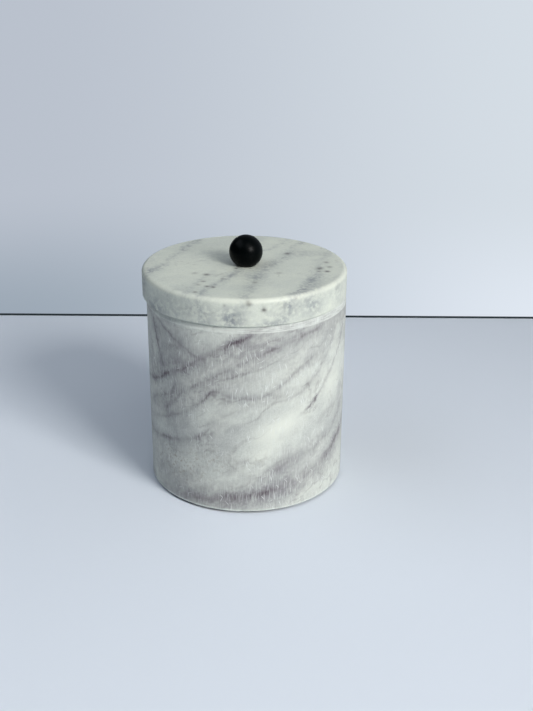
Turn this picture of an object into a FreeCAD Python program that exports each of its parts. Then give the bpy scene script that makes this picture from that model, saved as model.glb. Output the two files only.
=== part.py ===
"""Powder jar turned from marble, with a loose marble lid and a black metal ball knob.

The frame: millimetres, +Z up, the origin on the surface that the jar stands on, under the
middle of the jar. The loose lid rests a little towards -X, inside its play in the mouth.
"""
import FreeCAD, Part
import os
import Sketcher

# Driving dimensions in millimetres: name, value, meaning.
DIMENSIONS = (
    ("pad_count", 4, "number of pads under the base"),
    ("pad_radius", 5.0, "radius of a pad"),
    ("pad_thickness", 1.0, "thickness of a pad"),
    ("pad_circle", 38.0, "radius of the circle that the pads lie on"),
    ("body_radius", 50.0, "outer radius of the jar"),
    ("body_height", 98.6, "height of the jar's stone"),
    ("wall", 8.0, "thickness of the jar's wall"),
    ("floor_thickness", 10.0, "thickness of the jar's floor"),
    ("cove", 4.0, "inside radius between wall and floor"),
    ("rim_bevel_inward", 0.6, "bevel around the rim, measured inward"),
    ("rim_bevel_down", 3.2, "bevel around the rim, measured down"),
    ("base_bevel", 0.5, "bevel around the base and the mouth"),
    ("lid_radius", 50.9, "outer radius of the lid"),
    ("lid_thickness", 13.6, "thickness of the lid above the rim"),
    ("lid_round", 2.2, "round of the lid's upper edge"),
    ("lid_ease", 0.6, "round of the lid's lower edges"),
    ("lid_offset", 1.0, "how far the lid rests off centre, towards -X"),
    ("spigot_play", 1.3, "radial play of the spigot in the mouth"),
    ("spigot_depth", 6.0, "depth of the spigot under the lid"),
    ("hole_shift", 0.7, "how far the knob's hole is off the lid's centre, towards +X"),
    ("hole_radius", 2.5, "clearance hole for the knob's screw"),
    ("recess_radius", 6.5, "recess for the screw's head"),
    ("recess_web", 10.0, "stone left between the recess and the top of the lid"),
    ("ball_radius", 8.3, "radius of the ball knob"),
    ("ball_rise", 6.8, "height of the ball's centre above the lid"),
    ("ball_hole_radius", 2.05, "tapped hole in the ball, thread not cut"),
    ("ball_hole_depth", 10.0, "depth of the tapped hole"),
    ("washer_radius", 6.0, "outer radius of both washers"),
    ("washer_hole", 2.2, "inner radius of both washers"),
    ("cushion_thickness", 0.8, "soft washer against the stone"),
    ("washer_thickness", 1.0, "steel washer under the soft one"),
    ("screw_radius", 2.0, "M4 shank"),
    ("screw_length", 20.0, "length under the head"),
    ("head_radius", 4.0, "pan head"),
    ("head_height", 3.1, "height of the pan head"),
    ("head_round", 1.6, "round of the pan head's edge"),
    ("recess_slot_width", 0.9, "one arm of the cross in the head"),
    ("recess_slot_length", 4.4, "length of the cross"),
    ("recess_slot_depth", 1.8, "depth of the cross"),
)

# Heights that follow from the driving dimensions: name, formula, meaning.
DERIVED = (
    ("bore_radius", "=body_radius - wall", "inner radius of the jar"),
    ("rim_level", "=pad_thickness + body_height", "top of the jar's rim"),
    ("lid_level", "=rim_level + lid_thickness", "top of the lid"),
    ("seat_level", "=lid_level - recess_web", "stone that the soft washer bears on"),
    ("washer_level", "=seat_level - cushion_thickness", "top of the steel washer"),
    ("head_level", "=washer_level - washer_thickness", "underside of the steel washer"),
    ("knob_axis", "=hole_shift - lid_offset", "X of the knob's axis"),
    ("spigot_radius", "=bore_radius - spigot_play", "radius of the lid's spigot"),
    ("recess_depth", "=lid_thickness + spigot_depth - recess_web", "depth of the recess"),
)

TOLERANCE = 1e-4
X_DIRECTION = FreeCAD.Vector(1, 0, 0)
Z_DIRECTION = FreeCAD.Vector(0, 0, 1)
CENTRE = FreeCAD.Vector(0, 0, 0)
POINTS_UP = FreeCAD.Rotation()
POINTS_DOWN = FreeCAD.Rotation(X_DIRECTION, 180)

doc = FreeCAD.newDocument("powder_jar")
sizes = doc.addObject("Spreadsheet::Sheet", "sizes")


def fill_sheet():
    """Write every dimension to the spreadsheet, one named cell to a row."""
    for row, (name, value, meaning) in enumerate(DIMENSIONS + DERIVED, 1):
        sizes.set(f"A{row}", meaning)
        sizes.set(f"B{row}", str(value))
        sizes.setAlias(f"B{row}", name)
    doc.recompute()


def size(name):
    """The value of a named cell."""
    return float(sizes.get(name))


def new_body(name):
    """A body whose Label names its file."""
    body = doc.addObject("PartDesign::Body", name)
    body.Label = name
    return body


def place(item, x=None, z=None):
    """Bind an object's place to cells of the sheet."""
    if x:
        item.setExpression("Placement.Base.x", x)
    if z:
        item.setExpression("Placement.Base.z", z)


def sketch_on(body, name, role, level=None):
    """A sketch on one of the body's own origin planes, raised along its normal."""
    plane = next(item for item in body.Origin.OriginFeatures if item.Role == role)
    sketch = body.newObject("Sketcher::SketchObject", name)
    sketch.AttachmentSupport = (plane, "")
    sketch.MapMode = "FlatFace"
    if level:
        sketch.setExpression("AttachmentOffset.Base.z", level)
    return sketch


def bind(sketch, constraint, expression):
    """Add a constraint whose value comes from the sheet."""
    index = sketch.addConstraint(constraint)
    sketch.setExpression(f"Constraints[{index}]", expression)


def circle_sketch(body, name, radius, level=None, x=None):
    """A circle about the body's axis, or beside it at X."""
    sketch = sketch_on(body, name, "XY_Plane", level)
    circle = sketch.addGeometry(Part.Circle(CENTRE, Z_DIRECTION, 1.0))
    if x:
        bind(sketch, Sketcher.Constraint("DistanceX", circle, 3, 1.0), x)
        sketch.addConstraint(Sketcher.Constraint("PointOnObject", circle, 3, -1))
    else:
        sketch.addConstraint(Sketcher.Constraint("Coincident", circle, 3, -1, 1))
    bind(sketch, Sketcher.Constraint("Radius", circle, 1.0), radius)
    return sketch


def pad(body, name, sketch, length, downward=False):
    """Raise a sketch into a solid."""
    feature = body.newObject("PartDesign::Pad", name)
    feature.Profile = sketch
    feature.Reversed = downward
    feature.setExpression("Length", length)
    return feature


def pocket(body, name, sketch, length, upward=False):
    """Cut a sketch out of the body."""
    feature = body.newObject("PartDesign::Pocket", name)
    feature.Profile = sketch
    feature.Reversed = upward
    feature.setExpression("Length", length)
    return feature


def round_edges(feature, radius, level):
    """Names of the circular edges of one radius at one height in the body."""
    names = []
    for number, edge in enumerate(feature.Shape.Edges, 1):
        curve = edge.Curve
        if not isinstance(curve, Part.Circle):
            continue
        if abs(curve.Radius - radius) < TOLERANCE and abs(curve.Center.z - level) < TOLERANCE:
            names.append(f"Edge{number}")
    return names


def fillet(body, name, base, radius_of_edge, level, radius):
    """Round the circular edges of one radius at one height."""
    doc.recompute()
    feature = body.newObject("PartDesign::Fillet", name)
    feature.Base = (base, round_edges(base, radius_of_edge, level))
    feature.setExpression("Radius", radius)
    return feature


def chamfer(body, name, base, radius_of_edge, level, depth):
    """Bevel the circular edges of one radius at one height."""
    doc.recompute()
    feature = body.newObject("PartDesign::Chamfer", name)
    feature.Base = (base, round_edges(base, radius_of_edge, level))
    feature.setExpression("Size", depth)
    return feature


def make_jar_body():
    """The marble pot: a turned cylinder, bored from above, with a long shallow rim bevel."""
    body = new_body("jar_body")
    place(body, z="sizes.pad_thickness")
    blank = pad(body, "blank", circle_sketch(body, "outside", "sizes.body_radius"), "sizes.body_height")
    mouth = circle_sketch(body, "mouth", "sizes.bore_radius", "sizes.body_height")
    bored = pocket(body, "cavity", mouth, "sizes.body_height - sizes.floor_thickness")
    height = size("body_height")
    floor = size("floor_thickness")
    coved = fillet(body, "cavity_cove", bored, size("bore_radius"), floor, "sizes.cove")
    eased = chamfer(body, "mouth_bevel", coved, size("bore_radius"), height, "sizes.base_bevel")
    based = chamfer(body, "base_bevel", eased, size("body_radius"), 0, "sizes.base_bevel")
    rim = chamfer(body, "rim_bevel", based, size("body_radius"), height, "sizes.rim_bevel_inward")
    rim.ChamferType = "Two distances"
    rim.setExpression("Size2", "sizes.rim_bevel_down")
    doc.recompute()
    # The first try may have the two distances the wrong way round.
    rim.FlipDirection = not rim_is_bevelled(rim)
    assert blank.Shape.Volume > bored.Shape.Volume
    return body


def rim_is_bevelled(feature):
    """True if the rim's flat top ends one inward bevel short of the outside."""
    level = size("body_height")
    radius = size("body_radius") - size("rim_bevel_inward")
    return bool(round_edges(feature, radius, level))


def make_lid():
    """The marble lid: a thick disc with a shallow spigot that keeps it over the mouth."""
    body = new_body("lid")
    place(body, x="-sizes.lid_offset", z="sizes.rim_level")
    outside = circle_sketch(body, "lid_outside", "sizes.lid_radius")
    disc = pad(body, "disc", outside, "sizes.lid_thickness")
    outline = circle_sketch(body, "spigot_outline", "sizes.spigot_radius")
    spigot = pad(body, "spigot", outline, "sizes.spigot_depth", downward=True)
    thickness, depth = size("lid_thickness"), size("spigot_depth")
    top = fillet(body, "upper_round", spigot, size("lid_radius"), thickness, "sizes.lid_round")
    lower = fillet(body, "lower_round", top, size("lid_radius"), 0, "sizes.lid_ease")
    eased = fillet(body, "spigot_round", lower, size("spigot_radius"), -depth, "sizes.lid_ease")
    recess = circle_sketch(
        body, "recess_outline", "sizes.recess_radius", "-sizes.spigot_depth", "sizes.hole_shift",
    )
    sunk = pocket(body, "screw_recess", recess, "sizes.recess_depth", upward=True)
    hole = circle_sketch(
        body, "hole_outline", "sizes.hole_radius", "sizes.lid_thickness", "sizes.hole_shift",
    )
    drilled = pocket(body, "screw_hole", hole, "sizes.recess_web")
    doc.recompute()
    assert disc.Shape.Volume < spigot.Shape.Volume
    assert eased.Shape.Volume > sunk.Shape.Volume > drilled.Shape.Volume
    return body


def make_knob_ball():
    """The ball knob: a metal ball with a flat seat and a blind tapped hole below."""
    body = new_body("knob_ball")
    place(body, x="sizes.knob_axis", z="sizes.lid_level")
    sketch = sketch_on(body, "ball_section", "XZ_Plane")
    radius, rise = size("ball_radius"), size("ball_rise")
    seat = (radius ** 2 - rise ** 2) ** 0.5
    pole = FreeCAD.Vector(0, rise + radius, 0)
    side = FreeCAD.Vector(radius, rise, 0)
    foot = FreeCAD.Vector(seat, 0, 0)
    arc = sketch.addGeometry(Part.Arc(foot, side, pole))
    axis = sketch.addGeometry(Part.LineSegment(pole, CENTRE))
    flat = sketch.addGeometry(Part.LineSegment(CENTRE, foot))
    sketch.addConstraint(Sketcher.Constraint("Coincident", arc, 2, axis, 1))
    sketch.addConstraint(Sketcher.Constraint("Coincident", axis, 2, flat, 1))
    sketch.addConstraint(Sketcher.Constraint("Coincident", flat, 2, arc, 1))
    sketch.addConstraint(Sketcher.Constraint("Coincident", flat, 1, -1, 1))
    sketch.addConstraint(Sketcher.Constraint("Horizontal", flat))
    sketch.addConstraint(Sketcher.Constraint("Vertical", axis))
    sketch.addConstraint(Sketcher.Constraint("PointOnObject", arc, 3, -2))
    bind(sketch, Sketcher.Constraint("Radius", arc, radius), "sizes.ball_radius")
    bind(sketch, Sketcher.Constraint("DistanceY", -1, 1, arc, 3, rise), "sizes.ball_rise")
    ball = body.newObject("PartDesign::Revolution", "ball")
    ball.Profile = sketch
    ball.ReferenceAxis = (sketch, ["V_Axis"])
    ball.Angle = 360
    hole = circle_sketch(body, "tap_outline", "sizes.ball_hole_radius")
    tapped = pocket(body, "tapped_hole", hole, "sizes.ball_hole_depth", upward=True)
    doc.recompute()
    assert tapped.Shape.Volume < ball.Shape.Volume
    return body


def make_knob_screw():
    """The screw from below: pan head with a cross recess, plain shank for the M4 thread."""
    body = new_body("knob_screw")
    place(body, x="sizes.knob_axis", z="sizes.head_level")
    head_outline = circle_sketch(body, "head_outline", "sizes.head_radius")
    head = pad(body, "head", head_outline, "sizes.head_height", downward=True)
    shank_outline = circle_sketch(body, "shank_outline", "sizes.screw_radius")
    shank = pad(body, "shank", shank_outline, "sizes.screw_length")
    height = size("head_height")
    panned = fillet(body, "pan_round", shank, size("head_radius"), -height, "sizes.head_round")
    tip = size("screw_length")
    tipped = chamfer(body, "tip_bevel", panned, size("screw_radius"), tip, "sizes.screw_radius / 5")
    slot = sketch_on(body, "slot_outline", "XY_Plane", "-sizes.head_height")
    add_centred_rectangle(slot, "sizes.recess_slot_length", "sizes.recess_slot_width")
    cut = pocket(body, "slot", slot, "sizes.recess_slot_depth", upward=True)
    cross = body.newObject("PartDesign::PolarPattern", "cross_recess")
    cross.Originals = [cut]
    cross.Axis = (slot, ["N_Axis"])
    cross.Angle = 360
    cross.Occurrences = 4
    body.Tip = cross
    doc.recompute()
    assert head.Shape.Volume < shank.Shape.Volume
    assert tipped.Shape.Volume > cut.Shape.Volume > cross.Shape.Volume
    return body


def add_centred_rectangle(sketch, length, width):
    """A rectangle about the sketch's origin."""
    corners = [FreeCAD.Vector(x, y, 0) for x, y in ((-2, -1), (2, -1), (2, 1), (-2, 1))]
    sides = [sketch.addGeometry(Part.LineSegment(corners[i], corners[(i + 1) % 4])) for i in range(4)]
    for i in range(4):
        sketch.addConstraint(Sketcher.Constraint("Coincident", sides[i], 2, sides[(i + 1) % 4], 1))
        sketch.addConstraint(Sketcher.Constraint("Vertical" if i % 2 else "Horizontal", sides[i]))
    sketch.addConstraint(Sketcher.Constraint("Symmetric", sides[0], 1, sides[2], 1, -1, 1))
    bind(sketch, Sketcher.Constraint("DistanceX", sides[0], 1, sides[0], 2, 4.0), length)
    bind(sketch, Sketcher.Constraint("DistanceY", sides[1], 1, sides[1], 2, 2.0), width)


def make_washer(name, thickness, top_level):
    """A flat ring on the screw, hanging down from its top level."""
    disc = doc.addObject("Part::Cylinder", f"{name}_disc")
    hole = doc.addObject("Part::Cylinder", f"{name}_hole")
    for cylinder, radius in ((disc, "sizes.washer_radius"), (hole, "sizes.washer_hole")):
        cylinder.setExpression("Radius", radius)
        cylinder.setExpression("Height", thickness)
    washer = doc.addObject("Part::Cut", name)
    washer.Label = name
    washer.Base = disc
    washer.Tool = hole
    place(washer, x="sizes.knob_axis", z=f"{top_level} - {thickness}")
    return washer


def make_foot_pads():
    """Round pads under the base, spread evenly, the first one half a step round from +X."""
    count = int(size("pad_count"))
    pads = []
    for number in range(1, count + 1):
        angle = f"360 deg * ({number} - 0.5) / sizes.pad_count"
        dot = doc.addObject("Part::Cylinder", f"foot_pad_{number}")
        dot.Label = f"foot_pad_{number}"
        dot.setExpression("Radius", "sizes.pad_radius")
        dot.setExpression("Height", "sizes.pad_thickness")
        dot.setExpression("Placement.Base.x", f"sizes.pad_circle * cos({angle})")
        dot.setExpression("Placement.Base.y", f"sizes.pad_circle * sin({angle})")
        pads.append(dot)
    return pads


def check(parts):
    """Stop where an object failed or a sub-part is not one good solid."""
    doc.recompute()
    for item in doc.Objects:
        if "Invalid" in item.State or "Error" in item.State:
            raise RuntimeError(f"{item.Label} failed: {item.State}")
    for part in parts:
        shape = part.Shape
        if shape.isNull() or not shape.isValid() or len(shape.Solids) != 1:
            raise RuntimeError(f"{part.Label} has no valid single solid")
        box = shape.BoundBox
        print(f"{part.Label:16s} {shape.Volume:10.1f} mm3, Z {box.ZMin:7.2f} to {box.ZMax:7.2f} mm")


def main():
    fill_sheet()
    parts = [make_jar_body(), make_lid(), make_knob_ball(), make_knob_screw()]
    parts.append(make_washer("cushion_washer", "sizes.cushion_thickness", "sizes.seat_level"))
    parts.append(make_washer("flat_washer", "sizes.washer_thickness", "sizes.washer_level"))
    parts += make_foot_pads()
    check(parts)
    os.makedirs("parts", exist_ok=True)
    for part in parts:
        part.Shape.exportStep(f"parts/{part.Label}.step")


main()
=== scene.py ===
"""Looks for the powder jar: honed marble pot, polished marble lid, satin black ball knob.

Lengths are in metres. The stone's pattern is worked out in millimetres, in the jar's own frame.
"""
import math
import random

import bmesh
import bpy
from mathutils import Matrix, Vector


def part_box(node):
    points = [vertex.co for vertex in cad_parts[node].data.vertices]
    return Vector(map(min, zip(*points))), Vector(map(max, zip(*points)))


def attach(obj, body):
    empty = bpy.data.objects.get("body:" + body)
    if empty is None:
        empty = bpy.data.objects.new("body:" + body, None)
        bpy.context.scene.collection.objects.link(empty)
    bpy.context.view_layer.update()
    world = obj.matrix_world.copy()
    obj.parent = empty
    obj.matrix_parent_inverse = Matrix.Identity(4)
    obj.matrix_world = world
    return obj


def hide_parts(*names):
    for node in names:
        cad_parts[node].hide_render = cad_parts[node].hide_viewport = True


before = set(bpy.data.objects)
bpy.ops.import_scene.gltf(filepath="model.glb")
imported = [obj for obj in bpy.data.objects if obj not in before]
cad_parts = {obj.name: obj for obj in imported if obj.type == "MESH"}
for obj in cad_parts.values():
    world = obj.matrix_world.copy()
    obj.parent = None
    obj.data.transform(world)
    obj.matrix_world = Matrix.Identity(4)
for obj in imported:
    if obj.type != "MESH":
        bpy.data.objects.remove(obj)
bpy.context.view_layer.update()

MM = 0.001

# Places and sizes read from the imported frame.
BODY_LOW, BODY_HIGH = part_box("jar_body")
LID_LOW, LID_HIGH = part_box("lid")
BALL_LOW, BALL_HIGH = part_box("knob_ball")
BODY_RADIUS = BODY_HIGH[0]
BODY_BASE, RIM_LEVEL = BODY_LOW[2], BODY_HIGH[2]
LID_AXIS = (LID_LOW[0] + LID_HIGH[0]) / 2
LID_RADIUS = (LID_HIGH[0] - LID_LOW[0]) / 2
SPIGOT_LEVEL, LID_LEVEL = LID_LOW[2], LID_HIGH[2]
KNOB_AXIS = (BALL_LOW[0] + BALL_HIGH[0]) / 2
BALL_RADIUS = (BALL_HIGH[0] - BALL_LOW[0]) / 2
BALL_BASE, BALL_TOP = BALL_LOW[2], BALL_HIGH[2]

# Sizes that the boxes don't give.
WALL = 8.0 * MM
FLOOR_THICKNESS = 10.0 * MM
COVE = 4.0 * MM
RIM_BEVEL_INWARD = 0.6 * MM
RIM_BEVEL_DOWN = 3.2 * MM
BASE_BEVEL = 0.5 * MM
SOFT_EDGE = 0.25 * MM
LID_ROUND = 2.2 * MM
LID_EASE = 0.6 * MM
SPIGOT_RADIUS = 40.7 * MM
RECESS_RADIUS = 6.5 * MM
RECESS_WEB = 10.0 * MM
HOLE_RADIUS = 2.5 * MM
BALL_HOLE_RADIUS = 2.05 * MM
BALL_HOLE_DEPTH = 10.0 * MM

# Camera: a short telephoto that looks down on the jar from a little over half a metre.
CAMERA_PLACE = (10.2 * MM, -505.3 * MM, 281.1 * MM)
CAMERA_PITCH = 23.25
CAMERA_ROLL = 0.37
CAMERA_LENS = 54.08
CAMERA_SENSOR = 36.0

# How finely the turned pieces are divided, and from what angle on an edge shades sharp, in degrees.
ROUND_STEPS = 480
SHARP_ANGLE = 35
ON_AXIS = 0.001 * MM

# How far from an edge its wear reaches.
WEAR_REACH = 1.2 * MM


# ---------------------------------------------------------------- node graphs


class Graph:
    """A node tree, with one short call for each kind of node."""

    def __init__(self, tree):
        self.tree = tree
        self.tree.nodes.clear()

    def node(self, kind, **settings):
        """A new node of this kind, with its settings."""
        made = self.tree.nodes.new(kind)
        for name, value in settings.items():
            setattr(made, name, value)
        return made

    def feed(self, socket, value):
        """Link a socket, or set its constant."""
        if isinstance(value, bpy.types.NodeSocket):
            self.tree.links.new(value, socket)
        elif value is not None:
            socket.default_value = value

    def math(self, operation, a, b=None, c=None):
        """One operation on numbers."""
        made = self.node("ShaderNodeMath", operation=operation)
        for socket, value in zip(made.inputs, (a, b, c)):
            self.feed(socket, value)
        return made.outputs[0]

    def add(self, a, b):
        """The sum."""
        return self.math("ADD", a, b)

    def subtract(self, a, b):
        """The difference."""
        return self.math("SUBTRACT", a, b)

    def multiply(self, a, b):
        """The product."""
        return self.math("MULTIPLY", a, b)

    def screen(self, a, b):
        """Put two shares on top of each other: never above one."""
        return self.subtract(1.0, self.multiply(self.subtract(1.0, a), self.subtract(1.0, b)))

    def cover(self, clear, share, strength=1.0):
        """What is left clear after a layer covers this share of it."""
        return self.math("MULTIPLY_ADD", self.multiply(clear, share), -strength, clear)

    def fade(self, square, width):
        """One where a squared distance is nought, fading out over about twice the width."""
        return self.math("EXPONENT", self.multiply(square, -1 / width ** 2))

    def vector(self, operation, a, b):
        """One operation on vectors; its result is a number for a distance or a dot product."""
        made = self.node("ShaderNodeVectorMath", operation=operation)
        self.feed(made.inputs[0], a)
        self.feed(made.inputs["Scale" if operation == "SCALE" else 1], b)
        return made.outputs["Value" if operation in ("DISTANCE", "DOT_PRODUCT") else "Vector"]

    def frame(self, place, middle, turn, reach):
        """The place as seen from a middle, along turned axes, in units of the reach each way."""
        made = self.node("ShaderNodeMapping", vector_type="TEXTURE")
        self.feed(made.inputs["Vector"], place)
        made.inputs["Location"].default_value = middle
        made.inputs["Rotation"].default_value = turn
        made.inputs["Scale"].default_value = reach
        return made.outputs[0]

    def split(self, vector):
        """A vector's three numbers."""
        made = self.node("ShaderNodeSeparateXYZ")
        self.feed(made.inputs[0], vector)
        return made.outputs

    def join(self, x, y, z):
        """A vector from three numbers."""
        made = self.node("ShaderNodeCombineXYZ")
        for socket, value in zip(made.inputs, (x, y, z)):
            self.feed(socket, value)
        return made.outputs[0]

    def millimetres(self):
        """The object's own coordinates, in millimetres."""
        coordinates = self.node("ShaderNodeTexCoord").outputs["Object"]
        return self.vector("SCALE", coordinates, 1 / MM)

    def noise(self, place, size, detail=3.0, roughness=0.5, colour=False):
        """Noise whose lumps are about size across, in the units of place."""
        made = self.node("ShaderNodeTexNoise")
        self.feed(made.inputs["Vector"], place)
        made.inputs["Scale"].default_value = 1 / size
        made.inputs["Detail"].default_value = detail
        made.inputs["Roughness"].default_value = roughness
        return made.outputs["Color" if colour else "Fac"]

    def step(self, value, low, high, start=0.0, end=1.0):
        """A smooth step from start to end as value goes from low to high."""
        made = self.node("ShaderNodeMapRange", interpolation_type="SMOOTHSTEP")
        for socket, given in zip(made.inputs, (value, low, high, start, end)):
            self.feed(socket, given)
        return made.outputs[0]

    def bell(self, value, width):
        """One where value is nought, fading out over about twice the width."""
        share = self.math("DIVIDE", value, width)
        return self.math("EXPONENT", self.multiply(self.multiply(share, share), -1.0))

    def curve(self, value, points):
        """A smooth curve through points, all from 0 to 1."""
        made = self.node("ShaderNodeFloatCurve")
        made.mapping.extend = "HORIZONTAL"
        line = made.mapping.curves[0]
        while len(line.points) < len(points):
            line.points.new(0.5, 0.5)
        for point, place in zip(line.points, points):
            point.location = place
            point.handle_type = "AUTO_CLAMPED"
        made.mapping.update()
        self.feed(made.inputs["Value"], value)
        return made.outputs[0]

    def mix(self, share, a, b):
        """The colour a, with this share of b."""
        made = self.node("ShaderNodeMix", data_type="RGBA")
        for socket, value in zip((made.inputs[0], made.inputs[6], made.inputs[7]), (share, a, b)):
            self.feed(socket, value)
        return made.outputs[2]

    def bump(self, height, distance, base=None):
        """Relief: a height from 0 to 1 stands for this distance in metres."""
        made = self.node("ShaderNodeBump")
        self.feed(made.inputs["Height"], height)
        made.inputs["Distance"].default_value = distance
        self.feed(made.inputs["Normal"], base)
        return made.outputs[0]


def new_material(name):
    """A material with a Principled shader, and the graph to build on."""
    material = bpy.data.materials.new(name)
    material.use_nodes = True
    graph = Graph(material.node_tree)
    shader = graph.node("ShaderNodeBsdfPrincipled")
    output = graph.node("ShaderNodeOutputMaterial")
    graph.tree.links.new(shader.outputs[0], output.inputs["Surface"])
    return material, graph, shader


def rgb(red, green, blue):
    """An opaque colour."""
    return (red, green, blue, 1.0)


# ---------------------------------------------------------------- the stone's pattern

# Each vein of the pot is a bent sheet through the stone. Its course says where the sheet shows on
# the front of the wall, as (distance round from the middle, height), and its strength how dark it
# is along the way, as (distance round, share). Dip is how fast the sheet rises towards the back.
POT_VEINS = (
    dict(  # the strong upper vein, with three dark stretches
        course=((-70, 58), (-50, 63.5), (-44, 68), (-32, 74), (-23, 80), (-5, 91.5), (3, 95), (12, 100)),
        strength=((-70, .5), (-44, 1), (-38, .45), (-31, 1), (-24, .4), (-14, .4), (-5, 1), (1, .8),
                  (8, .5), (14, .3)),
        width=0.96, halo=3.0, dip=-0.14,
    ),
    dict(  # the long second vein, fading into a violet cloud at the right
        course=((-70, 44), (-50, 54), (-35, 62), (-20, 70), (-5, 79), (5, 84), (15, 88), (30, 92.5),
                (50, 96)),
        strength=((-70, .5), (-35, .4), (-20, .5), (-5, .5), (6, .45), (13, .8), (22, .35), (31, .7),
                  (45, .2)),
        width=0.72, halo=3.0, dip=-0.1,
    ),
    dict(  # from the left edge to the middle, then along and up to the right
        course=((-65, 39), (-40, 47), (-27, 54), (-20, 60), (-14, 65), (-6, 63.5), (5, 62.5), (15, 67),
                (25, 74), (33, 79), (50, 84)),
        strength=((-65, .4), (-38, .5), (-27, .3), (-16, .8), (-8, .4), (5, .5), (18, .5), (28, .5),
                  (40, .15)),
        width=0.72, halo=2.4, dip=0.05,
    ),
    dict(  # the short lower vein at the left
        course=((-60, 30), (-50, 32), (-40, 34), (-30, 37), (-20, 41), (-10, 44.5), (0, 49), (12, 53)),
        strength=((-60, .45), (-45, .7), (-38, .45), (-28, .4), (-20, .75), (-12, .15), (0, .15), (12, 0)),
        width=0.72, halo=2.2, dip=0.08,
    ),
    dict(  # the broad vein near the base
        course=((-60, 1), (-38, 4.5), (-22, 6), (-10, 9), (10, 11), (20, 15), (32, 17.5), (45, 22),
                (57, 27), (70, 33)),
        strength=((-60, .1), (-38, .35), (-22, .6), (-8, .7), (8, 1), (18, .6), (27, .4), (40, .35),
                  (56, .9), (70, .5)),
        width=1.56, halo=4.0, dip=0.12,
    ),
    dict(  # the violet band above it, at the right
        course=((0, 17), (12, 21), (20, 26), (30, 29), (40, 32), (50, 36), (60, 43), (72, 55)),
        strength=((0, 0), (12, .2), (20, .6), (27, .3), (38, .5), (50, .4), (60, .35), (72, .2)),
        width=1.2, halo=4.5, dip=0.1,
    ),
    dict(  # the dark grey line at the right, with one black spot
        course=((22, 48), (30, 52), (38, 57.5), (44, 64), (50, 70), (57, 79), (66, 92)),
        strength=((22, 0), (30, .3), (37.5, 1), (40, .5), (48, .4), (57, .4), (66, .2)),
        width=0.72, halo=1.6, dip=0.0,
    ),
    dict(  # the hairline that falls from the rim to the upper vein
        course=((-60, 99), (-46, 93), (-40, 90), (-33, 87), (-26, 82.5), (-18, 80)),
        strength=((-60, .1), (-46, .5), (-38, .6), (-30, .55), (-24, .4), (-18, 0)),
        width=0.6, halo=1.4, dip=0.0,
    ),
    dict(  # the steep band at the far left
        course=((-64, 99), (-58, 94), (-54, 88), (-50, 80), (-46, 72), (-43, 69)),
        strength=((-64, .3), (-58, .6), (-53, .8), (-48, .6), (-43, 0)),
        width=2.0, halo=4.5, dip=0.0,
    ),
    dict(  # short steep link between the second and third veins
        course=((-48, 46), (-44, 50), (-41, 56), (-38, 63), (-36, 66)),
        strength=((-48, 0), (-44, .5), (-40, .55), (-36, 0)),
        width=0.6, halo=1.8, dip=0.0,
    ),
    dict(  # faint line between the second and third veins
        course=((-55, 47), (-45, 50), (-38, 56), (-33, 61), (-26, 66), (-15, 71), (0, 76), (14, 80)),
        strength=((-55, .2), (-38, .4), (-30, .5), (-20, .25), (-5, .3), (14, 0)),
        width=0.6, halo=1.6, dip=0.1,
    ),
    dict(  # faint line through the middle, rising at the right
        course=((-30, 42), (-15, 50), (-5, 56), (8, 60), (20, 61), (32, 66), (44, 77), (54, 92)),
        strength=((-30, 0), (-15, .2), (-5, .3), (8, .25), (22, .3), (34, .35), (44, .35), (54, .3)),
        width=0.6, halo=2.0, dip=-0.05,
    ),
)

# Each streak of the lid is a sheet too. Its course shows on the top face, as (distance back from
# the middle, distance right).
LID_STREAKS = (
    dict(
        course=((-30, -52), (-15, -48), (0, -41), (10, -38), (20, -34), (30, -31), (44, -25)),
        strength=((-30, .4), (-12, 1), (-2, .7), (8, .45), (20, .5), (29, .9), (44, .3)),
        width=1.08, halo=3.0, dip=0.3,
    ),
    dict(
        course=((-48, -22), (-42, -20), (-34, -17), (-25, -11), (-15, -6), (-5, -3), (15, 1), (40, 6)),
        strength=((-48, .7), (-38, .8), (-30, .6), (-20, .8), (-12, .75), (0, .3), (40, .3)),
        width=0.96, halo=2.6, dip=-0.2,
    ),
    dict(
        course=((-45, 0), (-28, 4), (-17, 6.5), (-5, 10), (5, 15), (15, 20), (25, 23), (42, 30)),
        strength=((-45, .45), (-28, .5), (-17, .8), (-5, .6), (5, .6), (20, .45), (32, .5), (42, .3)),
        width=1.2, halo=3.5, dip=0.2,
    ),
    dict(
        course=((-45, 22), (-38, 26), (-30, 30), (-20, 33), (-10, 35), (0, 37), (10, 39), (30, 43)),
        strength=((-45, .9), (-32, 1), (-20, .85), (-10, .7), (0, .35), (10, .35), (26, .6), (36, .4)),
        width=1.44, halo=3.2, dip=0.4,
    ),
    dict(
        course=((-50, -30), (-40, -27), (-20, -20), (0, -12), (12, -11), (26, 12), (45, 21)),
        strength=((-50, .5), (-40, .4), (-20, .25), (0, .1), (15, .2), (26, .45), (45, .3)),
        width=0.84, halo=2.6, dip=-0.3,
    ),
)

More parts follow.
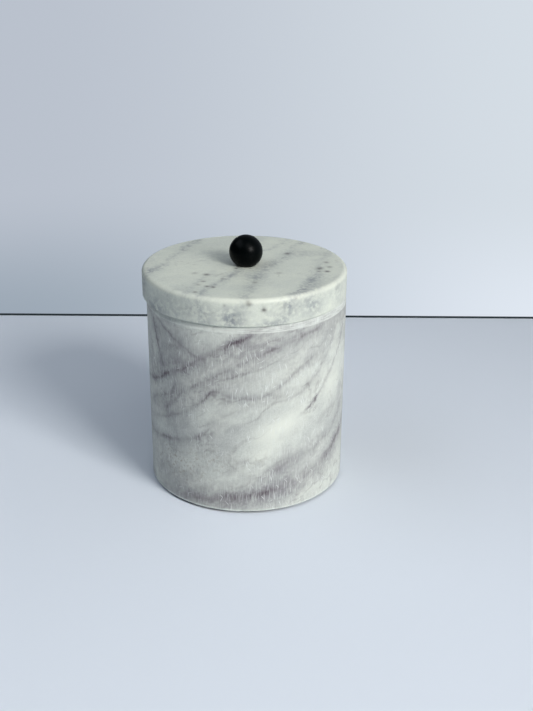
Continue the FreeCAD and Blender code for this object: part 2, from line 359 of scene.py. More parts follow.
# Dark specks on the lid: right, back and up from the middle of the jar, then size and strength.
LID_SPECKS = (
    (-19, -16, 113, 1.5, .8), (-25, -14, 113, 1.6, .4), (-11, -22, 113, 1.0, .6), (-20, -26, 113, 1.1, .7),
    (-22, -31, 113, 1.0, .6), (-18, -33, 113, 1.1, .9), (-15, -34, 113, 1.2, .9), (-23, -41, 113, 1.1, .8),
    (20.5, 18, 113, 1.6, .8), (40, 4, 113, 1.3, .7), (41, -3, 113, 1.4, .6), (36, -6, 113, 1.5, .8),
    (39.5, -10, 113, 1.4, .9), (35.5, -10, 113, 1.0, .6), (4.5, -27, 113, 1.2, .5), (16, -13, 113, 1.5, .4),
    (2, -50.8, 111.5, 1.3, .9), (9, -50, 108, 1.1, .9), (24, -45, 112, .8, .7), (-9, -50, 110, .7, .4),
    (-5, -6, 113, 1.0, .9), (-4, -4, 113, .8, .8), (2, -6, 113, .8, .7), (36.5, -4.5, 113, 1.0, .6),
)

# Grey mottled clouds in the lid: right, back and up, then reach each way and strength.
LID_CLOUDS = (
    ((-6, -50, 103.5), (6.5, 8, 5), 1), ((31, -39, 107), (7, 8, 6), .75), ((5, -17, 113), (6, 6, 3), .6),
    ((-42, -28, 101), (8, 12, 5), .8), ((33, -28, 113), (5, 10, 3), .4), ((-16, -48, 105), (2.5, 6, 8), .4),
    ((12, -49, 100.5), (6, 5, 2), .7), ((22, -45, 106), (3, 5, 4), .4), ((-50, 0, 108), (6, 14, 6), .5),
    ((-16, 14, 113), (14, 12, 3), .25), ((28, 18, 113), (10, 6, 3), .4), ((-30, -40, 102), (8, 8, 3), .4),
    ((46, -22, 107), (8, 10, 8), .35), ((-34, -38, 108), (12, 12, 6), .3), ((14, -48, 106), (8, 5, 6), .3),
)

# Violet-grey clouds in the pot's wall, its brightest areas, its brown stains, and the areas where
# the clouds thin out. Each has its middle as (distance round, height), its reach along and across,
# its lean from the level in degrees, and its strength.
POT_CLOUDS = (
    ((0, 88), (26, 7.5), 24, .8), ((-18, 65), (24, 6), 24, .7), ((8, 9), (34, 6), 8, .9),
    ((34, 17), (34, 5), 16, .65), ((22, 25), (26, 4), 18, .4), ((22, 80), (24, 5), 22, .3),
    ((-44, 72), (20, 6), 20, .75), ((-40, 54), (14, 6), 20, .75), ((-42, 88), (18, 9), -20, .55),
    ((-46, 17), (18, 8), 0, .65), ((-25, 7), (26, 5), 6, .75), ((-26, 78), (14, 6), 20, .6),
    ((34, 91), (26, 4), 4, .35), ((14, 64), (22, 3), 8, .3), ((-30, 35), (26, 3), 12, .3),
    ((30, 59), (16, 3), 30, .3),
)
POT_BRIGHT_AREAS = (((16, 46), (15, 7), 22, .8), ((50, 62), (10, 8), 35, .7), ((8, 33), (9, 4), 20, .5))
POT_STAINS = (((-38, 22), (16, 9), 0, .9), ((-18, 28), (12, 6), 10, .5), ((4, 30), (8, 4), 0, .3))
POT_PALE_AREAS = (
    ((20, 46), (24, 7), 18, 1), ((50, 62), (14, 9), 35, .9), ((-16, 50), (12, 5), 18, .4),
    ((5, 70), (13, 5), 24, .35), ((44, 40), (18, 4), 24, .6),
)

# Layers of honing scratches: lean from the upright in degrees, thickness, length, share of places.
HONING_SCRATCHES = (
    (4, 0.34, 6.0, .2), (-13, 0.32, 4.4, .17), (20, 0.32, 4.4, .15), (-38, 0.3, 3.0, .08),
    (66, 0.28, 2.8, .06),
)

# A course is held as a curve that goes from 0 to 1 both ways. Along it, that is twice the pattern's
# radius. Its value is a share of the pattern's height, or on the lid of the same distance from left
# to right, with the lid's middle half way.
PATTERN_HEIGHT = 120.0
PATTERN_RADIUS = 52.0
POT_RADIUS = BODY_RADIUS / MM
LID_MIDDLE = 60.0

# How far the pot's sheets swing aside and down for each step behind the axis.
SWING_ASIDE = 0.35
SWING_DOWN = 0.25

# The lumps of noise that bend the sheets, and the way that the stone's grain runs, in degrees.
COARSE_LUMPS = 13.0
FINE_LUMPS = 2.4
GRAIN_RISE = 30
GRAIN_SWING = 8


def bend(graph, place, coarse, fine):
    """Shift a place by two sizes of noise, so that what is drawn there wanders."""
    for size, reach in ((COARSE_LUMPS, coarse), (FINE_LUMPS, fine)):
        noise = graph.noise(place, size, detail=2.0, colour=True)
        shift = graph.vector("SUBTRACT", noise, (0.5, 0.5, 0.5))
        place = graph.vector("ADD", place, graph.vector("SCALE", shift, 2 * reach))
    return place


def share_across(distance):
    """A distance from the middle, as a share of the pattern's width."""
    return 0.5 + distance / (2 * PATTERN_RADIUS)


def pot_curves(vein):
    """A pot vein's course and strength as curves, from where it shows round the front of the wall."""
    course, strength = [], []
    for arc, height in vein["course"]:
        turn = arc / POT_RADIUS
        level = height + vein["dip"] * POT_RADIUS * math.cos(turn)
        course.append((share_across(POT_RADIUS * math.sin(turn)), level / PATTERN_HEIGHT))
    for arc, share in vein["strength"]:
        strength.append((share_across(POT_RADIUS * math.sin(arc / POT_RADIUS)), share))
    return course, strength


def lid_curves(vein):
    """A lid streak's course and strength as curves, from where it shows on the top face."""
    course = [(share_across(back), (right + LID_MIDDLE) / PATTERN_HEIGHT) for back, right in vein["course"]]
    strength = [(share_across(back), share) for back, share in vein["strength"]]
    return course, strength


def pot_axes(graph, place):
    """Along the pot's sheets, up across them, and how far back.

    Behind the axis the sheets swing aside and down, so that the sides aren't mirror images.
    """
    x, y, z = graph.split(place)
    behind = graph.math("MAXIMUM", y, 0.0)
    along = graph.math("MULTIPLY_ADD", behind, SWING_ASIDE, x)
    return along, graph.math("MULTIPLY_ADD", behind, SWING_DOWN, z), y


def lid_axes(graph, place):
    """Along the lid's sheets, sideways across them, and how far below the top face."""
    x, y, z = graph.split(place)
    return y, graph.add(x, LID_MIDDLE), graph.subtract(z, LID_LEVEL / MM)


def add_veins(graph, place, veins, find_axes, find_curves):
    """The shares of the dark cores and of the soft haloes of all veins."""
    bent = bend(graph, place, 1.4, 1.0)
    patches = graph.step(graph.noise(place, 6.0, detail=2.0), 0.35, 0.62, 0.5, 1.0)
    sharpness = graph.step(graph.noise(place, 1.4, detail=3.0, roughness=0.65), 0.3, 0.7, 1.5, 0.5)
    along, level, deep = find_axes(graph, bent)
    across = graph.math("MULTIPLY_ADD", along, 0.5 / PATTERN_RADIUS, 0.5)
    clear_core, clear_halo = 1.0, 1.0
    for vein in veins:
        course, strength = find_curves(vein)
        off = graph.math("MULTIPLY_ADD", graph.curve(across, course), -PATTERN_HEIGHT, level)
        off = graph.math("MULTIPLY_ADD", deep, -vein["dip"], off)
        off = graph.multiply(off, sharpness)
        square = graph.multiply(off, off)
        share = graph.curve(across, strength)
        strong = graph.multiply(share, patches)
        near = graph.multiply(graph.fade(square, vein["width"]), graph.multiply(strong, share))
        clear_core = graph.cover(clear_core, near)
        clear_halo = graph.cover(clear_halo, graph.multiply(graph.fade(square, vein["halo"]), strong))
    return graph.subtract(1.0, clear_core), graph.subtract(1.0, clear_halo)


def fine_network(graph, place, size, thin):
    """Hairlines where a slow noise crosses its middle value."""
    noise = graph.noise(place, size, detail=3.0, roughness=0.55)
    ridge = graph.math("ABSOLUTE", graph.subtract(noise, 0.5))
    return graph.step(ridge, 0.0, thin, 1.0, 0.0)


def along_veins(graph, place, stretch):
    """The place squeezed along the direction in which the veins run."""
    lean = (0.0, -math.radians(GRAIN_RISE), math.radians(GRAIN_SWING))
    return graph.frame(place, (0.0, 0.0, 0.0), lean, (stretch, 1.0, 1.0))


def stone_colour(graph, place, core, halo, pale, grey, plum, violet):
    """Cloudy stone, pale to grey, with crystals, violet haloes and plum cores of veins laid over it."""
    crystal = tuple(0.6 * share + 0.4 for share in pale)
    cloud = graph.noise(along_veins(graph, place, 2.2), 26.0, detail=4.0, roughness=0.6)
    colour = graph.mix(graph.step(cloud, 0.35, 0.68), pale, grey)
    mottle = graph.noise(place, 3.2, detail=5.0, roughness=0.7)
    colour = graph.mix(graph.multiply(graph.step(mottle, 0.35, 0.72), 0.45), colour, grey)
    crystals = graph.noise(place, 0.7, detail=2.0, roughness=0.7)
    colour = graph.mix(graph.step(crystals, 0.3, 0.75, 0.0, 0.35), colour, crystal)
    colour = graph.mix(graph.multiply(halo, 0.9), colour, violet)
    return graph.mix(graph.multiply(core, 0.9), colour, plum)


def wall_clouds(graph, wall, rows):
    """Leaning oval clouds on the wall of the pot, unrolled flat."""
    clear = 1.0
    for (middle, level), (along, aside), lean, strength in rows:
        seen = graph.frame(wall, (middle, level, 0.0), (0.0, 0.0, math.radians(lean)), (along, aside, 1.0))
        square = graph.vector("DOT_PRODUCT", seen, seen)
        clear = graph.cover(clear, graph.fade(square, 1.0), strength)
    return graph.subtract(1.0, clear)


def around(graph, place, radius):
    """The wall unrolled flat: distance round the axis, height and nought, in millimetres."""
    x, y, z = graph.split(place)
    turn = graph.math("ARCTAN2", x, graph.multiply(y, -1.0))
    return graph.join(graph.multiply(turn, radius), z, 0.0)


def dashes(graph, wall, lean, thin, length, share):
    """Short scratches that lean from the upright, on a share of a grid of cells.

    Reach is half a scratch's size in its cell. Each lean has its grid in a place of its own.
    """
    reach = 0.16
    size = (thin / (2 * reach), length / (2 * reach), 1.0)
    cells = graph.node("ShaderNodeTexVoronoi", feature="F1", voronoi_dimensions="2D")
    seen = graph.frame(wall, (3.0 * lean, 0.0, 0.0), (0.0, 0.0, -math.radians(lean)), size)
    graph.feed(cells.inputs["Vector"], seen)
    cells.inputs["Scale"].default_value = 1.0
    drawn = graph.step(cells.outputs["Distance"], reach, reach * 0.5)
    chance = graph.split(cells.outputs["Color"])[0]
    return graph.multiply(drawn, graph.math("LESS_THAN", chance, share))


# ---------------------------------------------------------------- materials


def honed_marble():
    """The pot's stone: veined, honed dull, with fine upright scratches."""
    material, graph, shader = new_material("honed_marble")
    place = graph.millimetres()
    wall = around(graph, place, POT_RADIUS)
    core, halo = add_veins(graph, place, POT_VEINS, pot_axes, pot_curves)
    hairs = fine_network(graph, along_veins(graph, bend(graph, place, 1.5, 0.25), 3.0), 13.0, 0.03)
    broken = graph.step(graph.noise(place, 16.0), 0.42, 0.62)
    core = graph.screen(graph.multiply(core, 0.95), graph.multiply(graph.multiply(hairs, broken), 0.34))
    halo = graph.screen(halo, pot_clouds(graph, place))
    colour = stone_colour(
        graph, place, core, halo,
        pale=rgb(0.605, 0.63, 0.56), grey=rgb(0.40, 0.42, 0.395),
        plum=rgb(0.072, 0.046, 0.061), violet=rgb(0.192, 0.178, 0.194),
    )
    bright = wall_clouds(graph, wall, POT_BRIGHT_AREAS)
    colour = graph.mix(graph.multiply(bright, graph.subtract(1.0, halo)), colour, rgb(0.75, 0.77, 0.675))
    streak, scratch = honing_marks(graph, place, wall)
    colour = graph.mix(graph.multiply(streak, 0.7), colour, rgb(0.65, 0.68, 0.64))
    colour = graph.mix(graph.multiply(scratch, 0.8), colour, rgb(0.78, 0.81, 0.78))
    blotches = graph.step(graph.noise(place, 1.6), 0.5, 0.7)
    stained = graph.multiply(wall_clouds(graph, wall, POT_STAINS), blotches)
    colour = graph.mix(graph.multiply(stained, 0.75), colour, rgb(0.25, 0.215, 0.15))
    # Rubbed pale bevel band with painted highlight, painted highlight lines along the bevel and base edges,
    # and painted shade under the base edge.
    colour = rub_and_paint_edge_light_shade(graph, colour, place, wall)
    graph.feed(shader.inputs["Base Color"], colour)
    grain = graph.noise(place, 0.5, detail=3.0, roughness=0.7)
    graph.feed(shader.inputs["Roughness"], graph.step(grain, 0.25, 0.75, 0.5, 0.68))
    relief = graph.bump(grain, 0.03 * MM)
    relief = graph.bump(graph.subtract(streak, graph.multiply(scratch, 0.8)), 0.035 * MM, relief)
    graph.feed(shader.inputs["Normal"], relief)
    shader.inputs["Specular IOR Level"].default_value = 0.35
    return material


def pot_clouds(graph, place):
    """Soft violet clouds, speckled, and thinner in the pale areas."""
    wall = around(graph, bend(graph, place, 5.0, 1.5), POT_RADIUS)
    cloud = wall_clouds(graph, wall, POT_CLOUDS)
    pale = wall_clouds(graph, wall, POT_PALE_AREAS)
    mottle = graph.noise(along_veins(graph, place, 1.8), 2.6, detail=5.0, roughness=0.7)
    cloud = graph.multiply(cloud, graph.step(mottle, 0.3, 0.68, 0.35, 1.0))
    haze = graph.noise(along_veins(graph, place, 2.0), 9.0, detail=4.0, roughness=0.6)
    haze = graph.step(haze, 0.45, 0.7, 0.0, 0.4)
    return graph.multiply(graph.screen(cloud, haze), graph.subtract(1.0, graph.multiply(pale, 0.85)))


def honing_marks(graph, place, wall):
    """Dense upright streaks, and short scratches that lean each way."""
    grid = graph.vector("DIVIDE", wall, (0.4, 6.0, 1.0))
    streak = graph.step(graph.noise(grid, 1.0, detail=3.0), 0.46, 0.74)
    dense = graph.step(graph.noise(place, 18.0, detail=1.0), 0.35, 0.65, 0.35, 1.0)
    streak = graph.multiply(streak, dense)
    # Bend the place so that the scratches curve a little, then draw a layer for each lean.
    bent_wall = around(graph, bend(graph, place, 0.0, 0.35), POT_RADIUS)
    clear = 1.0
    for lean, thin, length, share in HONING_SCRATCHES:
        clear = graph.cover(clear, dashes(graph, bent_wall, lean, thin, length, share))
    thick = graph.step(graph.noise(place, 9.0, detail=3.0), 0.42, 0.62, 0.12, 1.0)
    return streak, graph.multiply(graph.subtract(1.0, clear), thick)


def rub_and_paint_edge_light_shade(graph, colour, place, wall):
    """The bevel under the lid is pale, partly a rubbed finish and partly painted highlight; painted
    highlight lines run along the bevel's lower edge and the base edge, and painted shade darkens the base
    bevel's underside.
    """
    bevel = (RIM_LEVEL - RIM_BEVEL_DOWN) / MM
    base = (BODY_BASE + BASE_BEVEL) / MM
    height = graph.split(wall)[1]
    # Pale band over the rim bevel: partly a rubbed finish, partly painted highlight where the bevel catches
    # the light.
    rim = graph.step(height, bevel - 0.2, bevel + 0.2)
    grid = graph.vector("DIVIDE", wall, (6.0, 0.4, 1.0))
    rubbed_and_highlit_band = graph.multiply(rim, graph.step(graph.noise(grid, 1.0, detail=2.0), 0.3, 0.7, 0.1, 0.75))
    # Painted highlights: thin bright lines along the bevel's lower edge and just above the base, broken up
    # by noise.
    line = graph.bell(graph.subtract(height, bevel), 0.25)
    edge = graph.bell(graph.subtract(height, base + 0.35), 0.4)
    highlight_breakup = graph.step(graph.noise(wall, 4.0), 0.35, 0.65, 0.35, 1.0)
    bright = graph.screen(rubbed_and_highlit_band, graph.multiply(graph.screen(edge, graph.multiply(line, 0.6)), highlight_breakup))
    colour = graph.mix(bright, colour, rgb(0.70, 0.73, 0.68))
    # Painted shade: the underside of the base bevel, near the outer edge, is darkened almost to black.
    x, y, _ = graph.split(place)
    out = graph.vector("DISTANCE", graph.join(x, y, 0.0), (0.0, 0.0, 0.0))
    painted_shade = graph.step(height, base - 0.05, base - 0.35, 0.0, 0.85)
    painted_shade = graph.multiply(painted_shade, graph.step(out, POT_RADIUS - 2.5, POT_RADIUS - 0.6))
    return graph.mix(painted_shade, colour, rgb(0.06, 0.06, 0.06))


def specks(graph, place, rows):
    """Small ragged dark spots, each at its own place."""
    bent = bend(graph, place, 0.5, 0.6)
    clear = 1.0
    for right, back, up, size, strength in rows:
        distance = graph.vector("DISTANCE", bent, (right, back, up))
        clear = graph.cover(clear, graph.fade(graph.multiply(distance, distance), size), strength)
    return graph.subtract(1.0, clear)


def broken_up(graph, place):
    """A mottle that thins streaks out here and there."""
    return graph.step(graph.noise(place, 2.0, detail=4.0, roughness=0.68), 0.36, 0.62, 0.2, 1.0)


def clouds(graph, place, rows):
    """Soft grey clouds, broken up by a mottled noise."""
    bent = bend(graph, place, 2.0, 1.2)
    clear = 1.0
    for middle, reach, strength in rows:
        seen = graph.frame(bent, middle, (0.0, 0.0, 0.0), reach)
        clear = graph.cover(clear, graph.fade(graph.vector("DOT_PRODUCT", seen, seen), 1.0), strength)
    mottle = graph.step(graph.noise(place, 2.4, detail=4.0, roughness=0.6), 0.34, 0.6, 0.2, 1.0)
    return graph.multiply(graph.subtract(1.0, clear), mottle)


def polished_marble():
    """The lid's stone: paler and greener, polished, with soft grey streaks and dark specks."""
    material, graph, shader = new_material("polished_marble")
    place = graph.millimetres()
    core, halo = add_veins(graph, place, LID_STREAKS, lid_axes, lid_curves)
    halo = graph.multiply(graph.screen(halo, graph.multiply(core, 0.5)), broken_up(graph, place))
    halo = graph.screen(halo, clouds(graph, place, LID_CLOUDS))
    hairs = fine_network(graph, along_veins(graph, bend(graph, place, 2.0, 0.25), 2.0), 15.0, 0.025)
    broken = graph.step(graph.noise(place, 12.0), 0.5, 0.65)
    hairs = graph.multiply(graph.multiply(hairs, broken), 0.18)
    dark = graph.screen(specks(graph, place, LID_SPECKS), hairs)
    colour = stone_colour(
        graph, place, dark, halo,
        pale=rgb(0.66, 0.69, 0.585), grey=rgb(0.53, 0.565, 0.495),
        plum=rgb(0.05, 0.04, 0.042), violet=rgb(0.205, 0.225, 0.25),
    )
    # Painted highlight: the rounded upper edge is painted a brighter cream than the faces, where it catches
    # the light.
    x, y, z = graph.split(place)
    out = graph.vector("DISTANCE", graph.join(x, y, 0.0), (LID_AXIS / MM, 0.0, 0.0))
    high = graph.bell(graph.subtract(z, LID_LEVEL / MM - 1.1), 1.2)
    outer = graph.step(out, LID_RADIUS / MM - 3.4, LID_RADIUS / MM - 0.9)
    edge = graph.multiply(high, outer)
    colour = graph.mix(graph.multiply(edge, 0.4), colour, rgb(0.78, 0.80, 0.68))
    graph.feed(shader.inputs["Base Color"], colour)
    grain = graph.noise(place, 0.9, detail=3.0, roughness=0.6)
    graph.feed(shader.inputs["Roughness"], graph.step(grain, 0.3, 0.8, 0.36, 0.5))
    waves = graph.noise(place, 9.0, detail=1.0)
    relief = graph.bump(grain, 0.006 * MM, graph.bump(waves, 0.05 * MM))
    graph.feed(shader.inputs["Normal"], relief)
    shader.inputs["Specular IOR Level"].default_value = 0.4
    return material


def black_coat():
    """Satin black coat on metal, with a faint orange-peel skin and dust."""
    material, graph, shader = new_material("black_coat")
    place = graph.millimetres()
    dust = graph.step(graph.noise(place, 0.35, detail=2.0), 0.66, 0.76)
    cloudy = graph.noise(place, 3.0, detail=3.0)
    colour = graph.mix(cloudy, rgb(0.0002, 0.0008, 0.0009), rgb(0.0006, 0.0014, 0.0016))
    colour = graph.mix(graph.multiply(dust, 0.04), colour, rgb(0.12, 0.13, 0.13))
    graph.feed(shader.inputs["Base Color"], colour)
    graph.feed(shader.inputs["Roughness"], graph.step(cloudy, 0.3, 0.7, 0.3, 0.35))
    peel = graph.noise(place, 0.45, detail=1.0)
    graph.feed(shader.inputs["Normal"], graph.bump(peel, 0.006 * MM))
    shader.inputs["Specular IOR Level"].default_value = 0.055
    return material


def plated_steel():
    """Zinc-plated steel with faint spangle."""
    material, graph, shader = new_material("plated_steel")
    place = graph.millimetres()
    spangle = graph.noise(place, 1.2, detail=3.0)
    colour = graph.mix(spangle, rgb(0.50, 0.51, 0.52), rgb(0.68, 0.68, 0.66))
    graph.feed(shader.inputs["Base Color"], colour)
    graph.feed(shader.inputs["Roughness"], graph.step(spangle, 0.3, 0.7, 0.25, 0.45))
    graph.feed(shader.inputs["Normal"], graph.bump(graph.noise(place, 0.2), 0.004 * MM))
    shader.inputs["Metallic"].default_value = 1.0
    return material


def soft_rubber():
    """Dull black rubber."""
    material, graph, shader = new_material("soft_rubber")
    grain = graph.noise(graph.millimetres(), 0.3, detail=3.0)
    colour = graph.mix(grain, rgb(0.018, 0.018, 0.018), rgb(0.04, 0.04, 0.04))
    graph.feed(shader.inputs["Base Color"], colour)
    graph.feed(shader.inputs["Roughness"], graph.step(grain, 0.3, 0.7, 0.7, 0.9))
    graph.feed(shader.inputs["Normal"], graph.bump(grain, 0.01 * MM))
    return material


def pressed_felt():
    """Dark felt: matted fibres in two directions."""
    material, graph, shader = new_material("pressed_felt")
    place = graph.millimetres()
    fibres = 0.0
    for stretch in ((0.12, 1.2, 0.12), (1.2, 0.12, 0.12)):
        scaled = graph.vector("DIVIDE", place, stretch)
        fibres = graph.screen(fibres, graph.step(graph.noise(scaled, 1.0, detail=2.0), 0.45, 0.7))
    colour = graph.mix(fibres, rgb(0.022, 0.022, 0.025), rgb(0.085, 0.085, 0.09))
    graph.feed(shader.inputs["Base Color"], colour)
    shader.inputs["Roughness"].default_value = 0.95
    shader.inputs["Sheen Weight"].default_value = 0.3
    graph.feed(shader.inputs["Normal"], graph.bump(fibres, 0.05 * MM))
    return material


# ---------------------------------------------------------------- turned pieces


def corner(middle_out, middle_up, radius, start, end, steps=6):
    """Points of an arc in the section, from one angle to another in degrees; 0 points outward, 90 up."""
    points = []
    for index in range(steps + 1):
        angle = math.radians(start + (end - start) * index / steps)
        points.append((middle_out + radius * math.cos(angle), middle_up + radius * math.sin(angle)))
    return points


def soften(outline, radius, steps=3):
    """Cut every corner of an outline with a small round, leaving its ends where they are."""
    soft = [outline[0]]
    for before, here, after in zip(outline, outline[1:], outline[2:]):
        back = min(radius, math.dist(before, here) / 3)
        ahead = min(radius, math.dist(here, after) / 3)
        first = tuple(h + (b - h) * back / math.dist(before, here) for h, b in zip(here, before))
        last = tuple(h + (a - h) * ahead / math.dist(here, after) for h, a in zip(here, after))
        for index in range(steps + 1):
            share = index / steps
            soft.append(tuple(
                (1 - share) ** 2 * f + 2 * share * (1 - share) * h + share ** 2 * l
                for f, h, l in zip(first, here, last)
            ))
    return soft + [outline[-1]]


def brace(section, near=0.2 * MM):
    """Add a point just inside both ends of every long run, so that flat faces shade flat."""
    points = [section[0]]
    for start, end in zip(section, section[1:]):
        length = math.dist(start, end)
        shares = (near / length, 1 - near / length) if length > 5 * near else ()
        for share in shares:
            points.append(tuple(a + (b - a) * share for a, b in zip(start, end)))
        points.append(end)
    return points


def make_rings(mesh, section, axis, wear, inner):
    """A ring of points for each point of a section, or a single point for one on the axis."""
    rings = []
    for out, up in brace(section):
        middle = inner[1] if out < inner[0] else axis
        if out < ON_AXIS:
            rings.append([mesh.verts.new((middle, 0.0, up))])
            continue
        ring = []
        for index in range(ROUND_STEPS):
            angle = 2 * math.pi * index / ROUND_STEPS
            worn_out, worn_up = wear(angle, out, up) if wear else (out, up)
            x, y = worn_out * math.cos(angle), worn_out * math.sin(angle)
            ring.append(mesh.verts.new((middle + x, y, worn_up)))
        rings.append(ring)
    return rings


def turn(name, section, axis, material, slot, body, node, wear=None, inner=(0.0, 0.0)):
    """Turn a section about a vertical line into a closed piece that stands for a CAD node.

    Inner is a reach and an axis: what lies within that reach is turned about that axis instead.
    """
    mesh = bmesh.new()
    rings = make_rings(mesh, section, axis, wear, inner)
    for lower, upper in zip(rings, rings[1:]):
        join_rings(mesh, lower, upper)
    if len(rings[0]) > 1:
        join_rings(mesh, rings[-1], rings[0])
    bmesh.ops.recalc_face_normals(mesh, faces=mesh.faces)
    for edge in mesh.edges:
        edge.smooth = edge.calc_face_angle(0.0) < math.radians(SHARP_ANGLE)
    data = bpy.data.meshes.new(name)
    mesh.to_mesh(data)
    mesh.free()
    data.shade_smooth()
    data.materials.append(material)
    piece = bpy.data.objects.new(name, data)
    bpy.context.scene.collection.objects.link(piece)
    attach(piece, body)
    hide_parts(node)


def join_rings(mesh, lower, upper):
    """Faces between two rings, either of which may be a single point on the axis."""
    for index in range(ROUND_STEPS):
        following = (index + 1) % ROUND_STEPS
        if len(lower) == 1:
            mesh.faces.new((lower[0], upper[following], upper[index]))
        elif len(upper) == 1:
            mesh.faces.new((lower[index], lower[following], upper[0]))
        else:
            mesh.faces.new((lower[index], lower[following], upper[following], upper[index]))


class EdgeWear:
    """Small chips and a slight unevenness along the round edges of a stone piece."""

    def __init__(self, seed, edges, chips):
        """Edges are (radius, level) pairs; chips is the number along each."""
        draw = random.Random(seed)
        self.edges = [
            (radius, level, [self.chip(draw) for _ in range(chips)])
            for radius, level in edges
        ]

    @staticmethod
    def chip(draw):
        """Where a chip lies, how wide it is and how deep."""
        return draw.uniform(0, 2 * math.pi), draw.uniform(0.4, 1.4) * MM, draw.uniform(0.05, 0.3) * MM

    def __call__(self, angle, out, up):
        """The place after wear: near an edge, it moves inward, away from the edge."""
        for radius, level, chips in self.edges:
            near = math.hypot(out - radius, up - level)
            if near > WEAR_REACH:
                continue
            fade = (1 - near / WEAR_REACH) ** 2
            loss = 0.0
            for middle, width, depth in chips:
                turn_away = abs((angle - middle + math.pi) % (2 * math.pi) - math.pi) * radius
                if turn_away < 2 * width:
                    loss = max(loss, depth * math.exp(-(turn_away / width) ** 2 * 2))
            return out - loss * fade, up
        return out, up


def pot_section():
    """Half section of the pot, from the middle of its underside round to the middle of its floor."""
    bore = BODY_RADIUS - WALL
    floor = BODY_BASE + FLOOR_THICKNESS
    outline = [
        (0.0, BODY_BASE),
        (BODY_RADIUS - BASE_BEVEL, BODY_BASE),
        (BODY_RADIUS, BODY_BASE + BASE_BEVEL),
        (BODY_RADIUS, RIM_LEVEL - RIM_BEVEL_DOWN),
        (BODY_RADIUS - RIM_BEVEL_INWARD, RIM_LEVEL),
        (bore + BASE_BEVEL, RIM_LEVEL),
        (bore, RIM_LEVEL - BASE_BEVEL),
        (bore, floor + COVE),
    ]
    cove = corner(bore - COVE, floor + COVE, COVE, 0, -90, steps=10)
    return soften(outline + [cove[1]], SOFT_EDGE) + cove[2:] + [(0.0, floor)]


def lid_section():
    """Half section of the lid, from the wall of the screw's hole round the spigot and back to the hole."""
    disc_level = RIM_LEVEL
    recess_level = LID_LEVEL - RECESS_WEB
    section = [(HOLE_RADIUS, recess_level), (RECESS_RADIUS, recess_level), (RECESS_RADIUS, SPIGOT_LEVEL)]
    section = soften(section, SOFT_EDGE)
    section += corner(SPIGOT_RADIUS - LID_EASE, SPIGOT_LEVEL + LID_EASE, LID_EASE, -90, 0)
    section += [(SPIGOT_RADIUS, disc_level)]
    section += corner(LID_RADIUS - LID_EASE, disc_level + LID_EASE, LID_EASE, -90, 0)
    section += corner(LID_RADIUS - LID_ROUND, LID_LEVEL - LID_ROUND, LID_ROUND, 0, 90, steps=12)
    section += [(HOLE_RADIUS + SOFT_EDGE, LID_LEVEL), (HOLE_RADIUS, LID_LEVEL - SOFT_EDGE)]
    return section


def ball_section():
    """Half section of the ball, from its tapped hole over the flat seat and up to the top."""
    middle = BALL_TOP - BALL_RADIUS
    seat = -math.degrees(math.asin((middle - BALL_BASE) / BALL_RADIUS))
    hole_top = BALL_BASE + BALL_HOLE_DEPTH
    hole = [(0.0, hole_top), (BALL_HOLE_RADIUS, hole_top), (BALL_HOLE_RADIUS, BALL_BASE)]
    sphere = corner(0.0, middle, BALL_RADIUS, seat, 90, steps=64)
    return hole + sphere[:-1] + [(0.0, BALL_TOP)]


def make_pieces():
    """The visible pieces, and the materials of the CAD nodes that stay."""
    rim_edge = (BODY_RADIUS - RIM_BEVEL_INWARD, RIM_LEVEL)
    base_edge = (BODY_RADIUS, BODY_BASE + BASE_BEVEL)
    pot_wear = EdgeWear(seed=3, edges=(rim_edge, base_edge), chips=40)
    turn("pot", pot_section(), 0.0, honed_marble(), "honed_marble", "jar", "jar_body", pot_wear)
    lid_wear = EdgeWear(seed=8, edges=((LID_RADIUS, RIM_LEVEL),), chips=30)
    turn(
        "lid_stone", lid_section(), LID_AXIS, polished_marble(), "polished_marble", "lid_and_knob", "lid",
        wear=lid_wear, inner=(RECESS_RADIUS + SOFT_EDGE * 2, KNOB_AXIS),
    )
    turn("ball", ball_section(), KNOB_AXIS, black_coat(), "black_metal", "lid_and_knob", "knob_ball")
    steel, rubber = plated_steel(), soft_rubber()
    looks = {"knob_screw": steel, "flat_washer": steel, "cushion_washer": rubber}
    felt = pressed_felt()
    looks.update({name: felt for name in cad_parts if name.startswith("foot_pad_")})
    for name, material in looks.items():
        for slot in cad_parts[name].material_slots:
            slot.material = material


# ---------------------------------------------------------------- stage, light and camera

FLOOR_BACK = 220.0 * MM
FLOOR_SIDE = 1.2
FLOOR_FRONT = -1.2
LINE_THICKNESS = 0.2 * MM
LINE_LOW, LINE_HIGH = -0.3 * MM, 1.5 * MM

# Azimuth 0 is the viewer's side, 90 the viewer's right. Sizes are in metres, power in watts.
LIGHTS = (
    dict(
        name="window", azimuth=40, elevation=30, distance=2.0, width=0.7, height=0.74, power=5.65,
        colour=(0.98, 0.97, 0.955), spread=70, aim=(0, -0.25, 0),
    ),
    dict(
        name="fill", azimuth=-80, elevation=56, distance=1.5, width=1.5, height=0.8, power=5.5,
        colour=(0.92, 1.0, 1.12),
    ),
    dict(
        name="front", azimuth=28, elevation=58, distance=1.0, width=0.5, height=0.5, power=1.2,
        colour=(0.97, 1.0, 1.03),
    ),
)


def plain_material(name, colour, roughness):
    """A flat material for the stage."""
    material = bpy.data.materials.new(name)
    material.use_nodes = True
    shader = material.node_tree.nodes["Principled BSDF"]
    shader.inputs["Base Color"].default_value = colour
    shader.inputs["Roughness"].default_value = roughness
    shader.inputs["Specular IOR Level"].default_value = 0.0
    return material


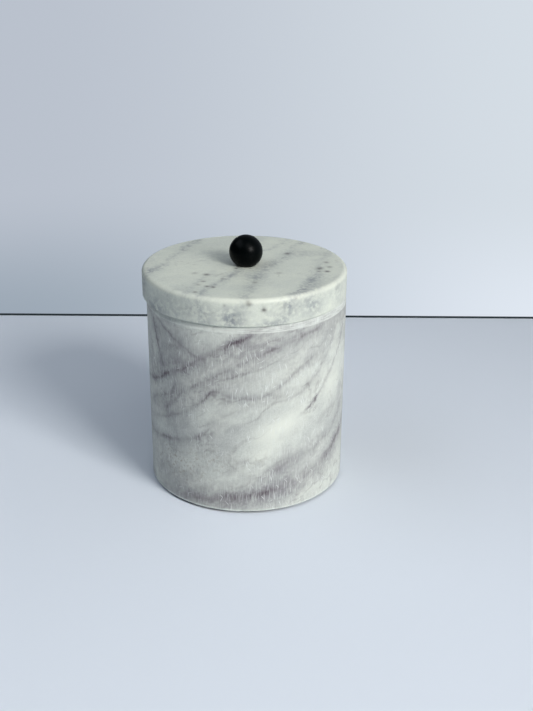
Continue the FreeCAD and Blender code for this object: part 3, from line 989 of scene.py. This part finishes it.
def make_stage():
    """A pale floor that ends in a thin dark line some way behind the jar."""
    floor = stage_face("floor", FLOOR_FRONT, FLOOR_BACK, 0.0, 0.0)
    floor.data.materials.append(plain_material("floor_paint", rgb(0.71, 0.755, 0.81), 0.6))
    line = stage_face("floor_line", FLOOR_BACK, FLOOR_BACK + LINE_THICKNESS, LINE_LOW, LINE_HIGH)
    line.data.materials.append(plain_material("line_paint", rgb(0.035, 0.045, 0.05), 0.8))


def stage_face(name, front, back, low, high):
    """One wide rectangle of the stage: low is the level of its front edge, high that of its back edge."""
    mesh = bpy.data.meshes.new(name)
    corners = [
        (-FLOOR_SIDE, front, low), (FLOOR_SIDE, front, low),
        (FLOOR_SIDE, back, high), (-FLOOR_SIDE, back, high),
    ]
    mesh.from_pydata(corners, [], [(0, 1, 2, 3)])
    face = bpy.data.objects.new(name, mesh)
    bpy.context.scene.collection.objects.link(face)
    return face


def make_light(name, azimuth, elevation, distance, width, height, power, colour, spread=180, aim=(0, 0, 0)):
    """A soft panel that faces the aim. Azimuth and elevation are degrees, seen from the jar."""
    data = bpy.data.lights.new(name, "AREA")
    data.shape = "RECTANGLE"
    data.size, data.size_y = width, height
    data.energy = power
    data.color = colour
    data.spread = math.radians(spread)
    light = bpy.data.objects.new(name, data)
    around_z, up = math.radians(azimuth), math.radians(elevation)
    light.location = (
        distance * math.sin(around_z) * math.cos(up),
        -distance * math.cos(around_z) * math.cos(up),
        distance * math.sin(up),
    )
    light.rotation_euler = (Vector(aim) - light.location).to_track_quat("-Z", "Y").to_euler()
    bpy.context.scene.collection.objects.link(light)


def make_world():
    """A dim room that lights the jar from all round, and a pale backdrop that only the camera sees, with
    painted shade: darker to the left, and darkest low at the left.
    """
    world = bpy.data.worlds.new("room")
    bpy.context.scene.world = world
    world.use_nodes = True
    graph = Graph(world.node_tree)
    direction = graph.split(graph.node("ShaderNodeTexCoord").outputs["Generated"])
    # Painted shade on the backdrop: the left side is darker than the right, and the lower left is darker
    # still, standing for the jar's shadow on the wall.
    rightward = graph.step(direction[0], -0.25, 0.3)
    low = graph.mix(rightward, rgb(0.33, 0.39, 0.46), rgb(0.76, 0.82, 0.90))
    high = graph.mix(rightward, rgb(0.49, 0.535, 0.61), rgb(0.67, 0.73, 0.79))
    backdrop = graph.mix(graph.step(direction[2], -0.36, -0.24), low, high)
    lit_side = graph.add(graph.multiply(direction[0], 0.8), graph.multiply(direction[1], 0.4))
    room = graph.mix(graph.step(lit_side, -0.5, 1.0), rgb(0.02, 0.026, 0.034), rgb(0.44, 0.475, 0.525))
    seen = graph.node("ShaderNodeLightPath").outputs["Is Camera Ray"]
    background = graph.node("ShaderNodeBackground")
    graph.feed(background.inputs["Color"], graph.mix(seen, room, backdrop))
    output = graph.node("ShaderNodeOutputWorld")
    graph.tree.links.new(background.outputs[0], output.inputs["Surface"])


def make_camera():
    """The camera, at the height and angle of someone who looks down at the jar on a table."""
    data = bpy.data.cameras.new("camera")
    data.lens = CAMERA_LENS
    data.sensor_width = CAMERA_SENSOR
    data.clip_start = 0.01
    data.clip_end = 20.0
    camera = bpy.data.objects.new("camera", data)
    camera.location = CAMERA_PLACE
    camera.rotation_mode = "XYZ"
    pitch = Matrix.Rotation(math.radians(90 - CAMERA_PITCH), 4, "X")
    roll = Matrix.Rotation(math.radians(CAMERA_ROLL), 4, "Z")
    camera.rotation_euler = (pitch @ roll).to_euler()
    bpy.context.scene.collection.objects.link(camera)
    bpy.context.scene.camera = camera


make_camera()
make_stage()
make_world()
for light_row in LIGHTS:
    make_light(**light_row)
make_pieces()
bpy.context.scene.view_settings.view_transform = "Standard"
